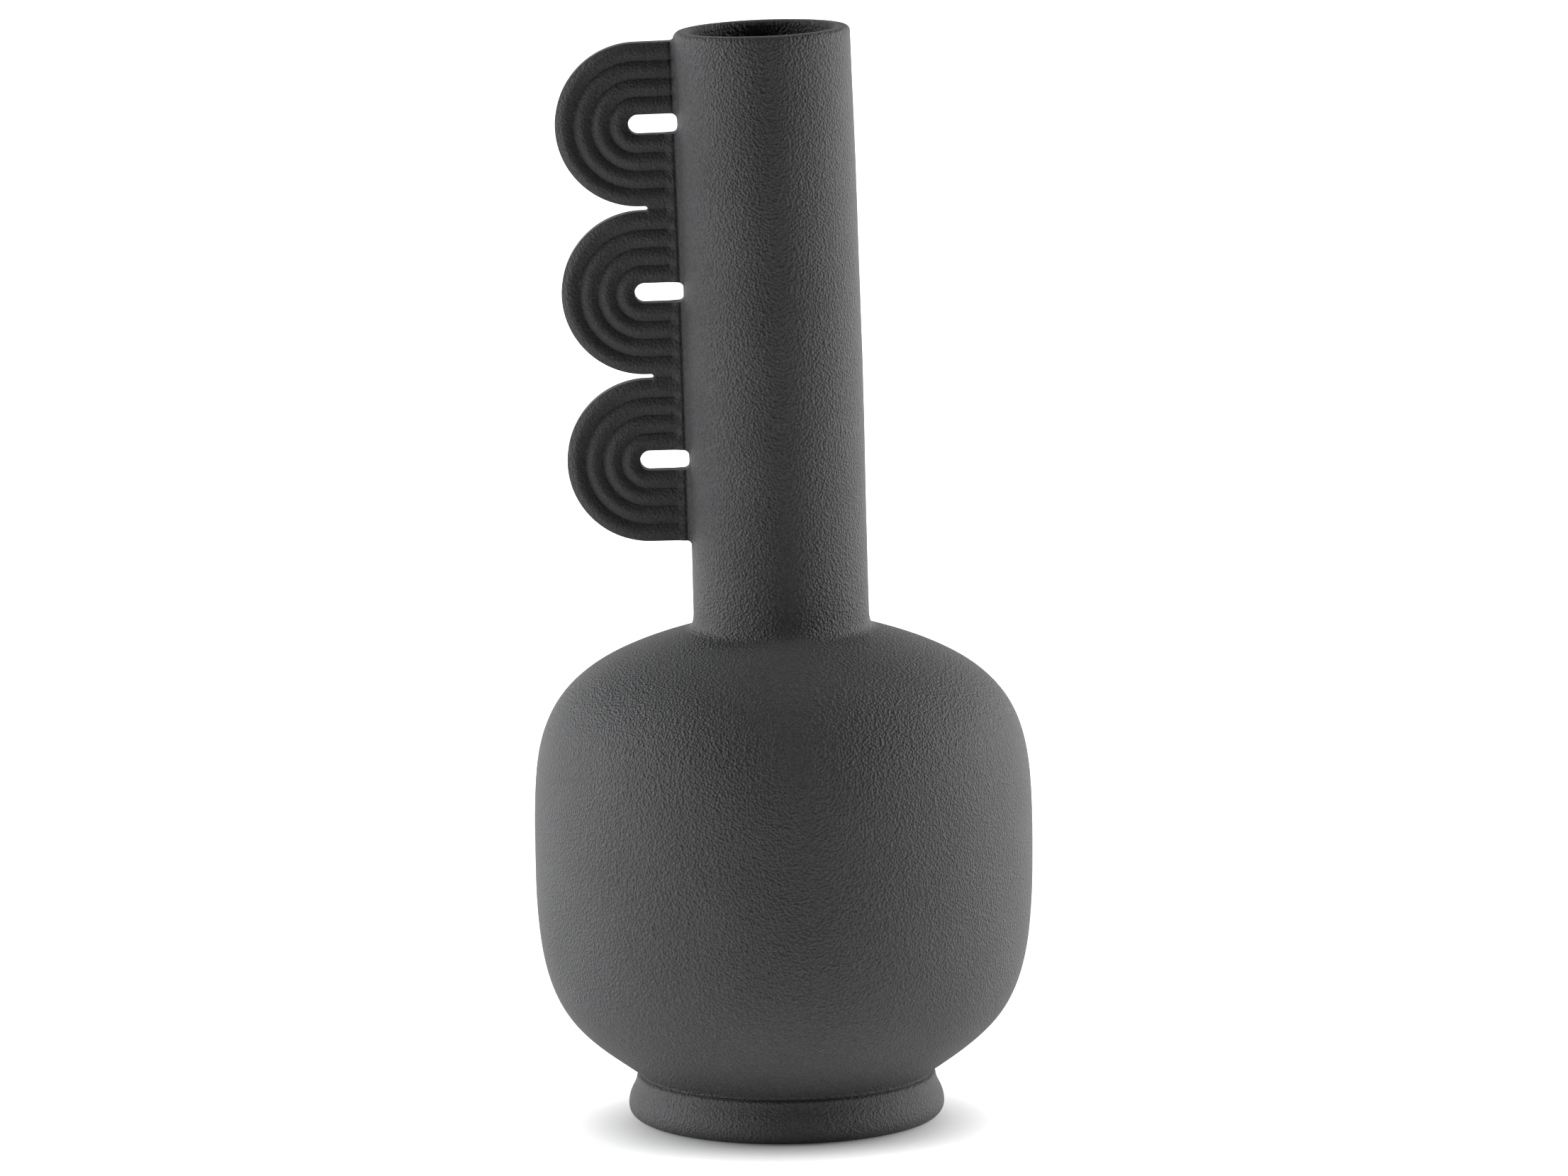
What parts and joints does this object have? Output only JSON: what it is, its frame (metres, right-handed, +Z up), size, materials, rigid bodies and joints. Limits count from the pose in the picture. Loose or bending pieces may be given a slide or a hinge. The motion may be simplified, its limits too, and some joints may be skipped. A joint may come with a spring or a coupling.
{
  "type": "vase",
  "caption": "Tall charcoal stoneware bottle vase with a round belly on a turned foot, a long straight neck leaning slightly to one side, and ribbed loop handles stacked down that side.",
  "frame": {"origin": "centre of the foot, on the floor it stands on", "axes": "+Z up along the belly's turning axis; the handles stand toward -X; Y runs across the handles, front and back alike"},
  "size_m": [0.195, 0.195, 0.4298],
  "materials": {
    "stoneware_foot": "unglazed matte charcoal stoneware with fine grit",
    "stoneware_body": "matte charcoal stoneware with a fine pebbly grain",
    "stoneware_neck": "matte charcoal stoneware with a fine pebbly grain",
    "stoneware_handle": "matte charcoal stoneware, slightly darker and smoother than the body"
  },
  "bodies": {
    "root": {"foot_ring": "stoneware_foot", "body_lower_bowl": "stoneware_body", "body_upper_dome": "stoneware_body", "neck_tube": "stoneware_neck", "handle_top_roll_1": "stoneware_handle", "handle_top_roll_2": "stoneware_handle", "handle_top_roll_3": "stoneware_handle", "handle_top_roll_4": "stoneware_handle", "handle_middle_roll_1": "stoneware_handle", "handle_middle_roll_2": "stoneware_handle", "handle_middle_roll_3": "stoneware_handle", "handle_middle_roll_4": "stoneware_handle", "handle_bottom_roll_1": "stoneware_handle", "handle_bottom_roll_2": "stoneware_handle", "handle_bottom_roll_3": "stoneware_handle", "handle_bottom_roll_4": "stoneware_handle"}
  },
  "joints": []
}
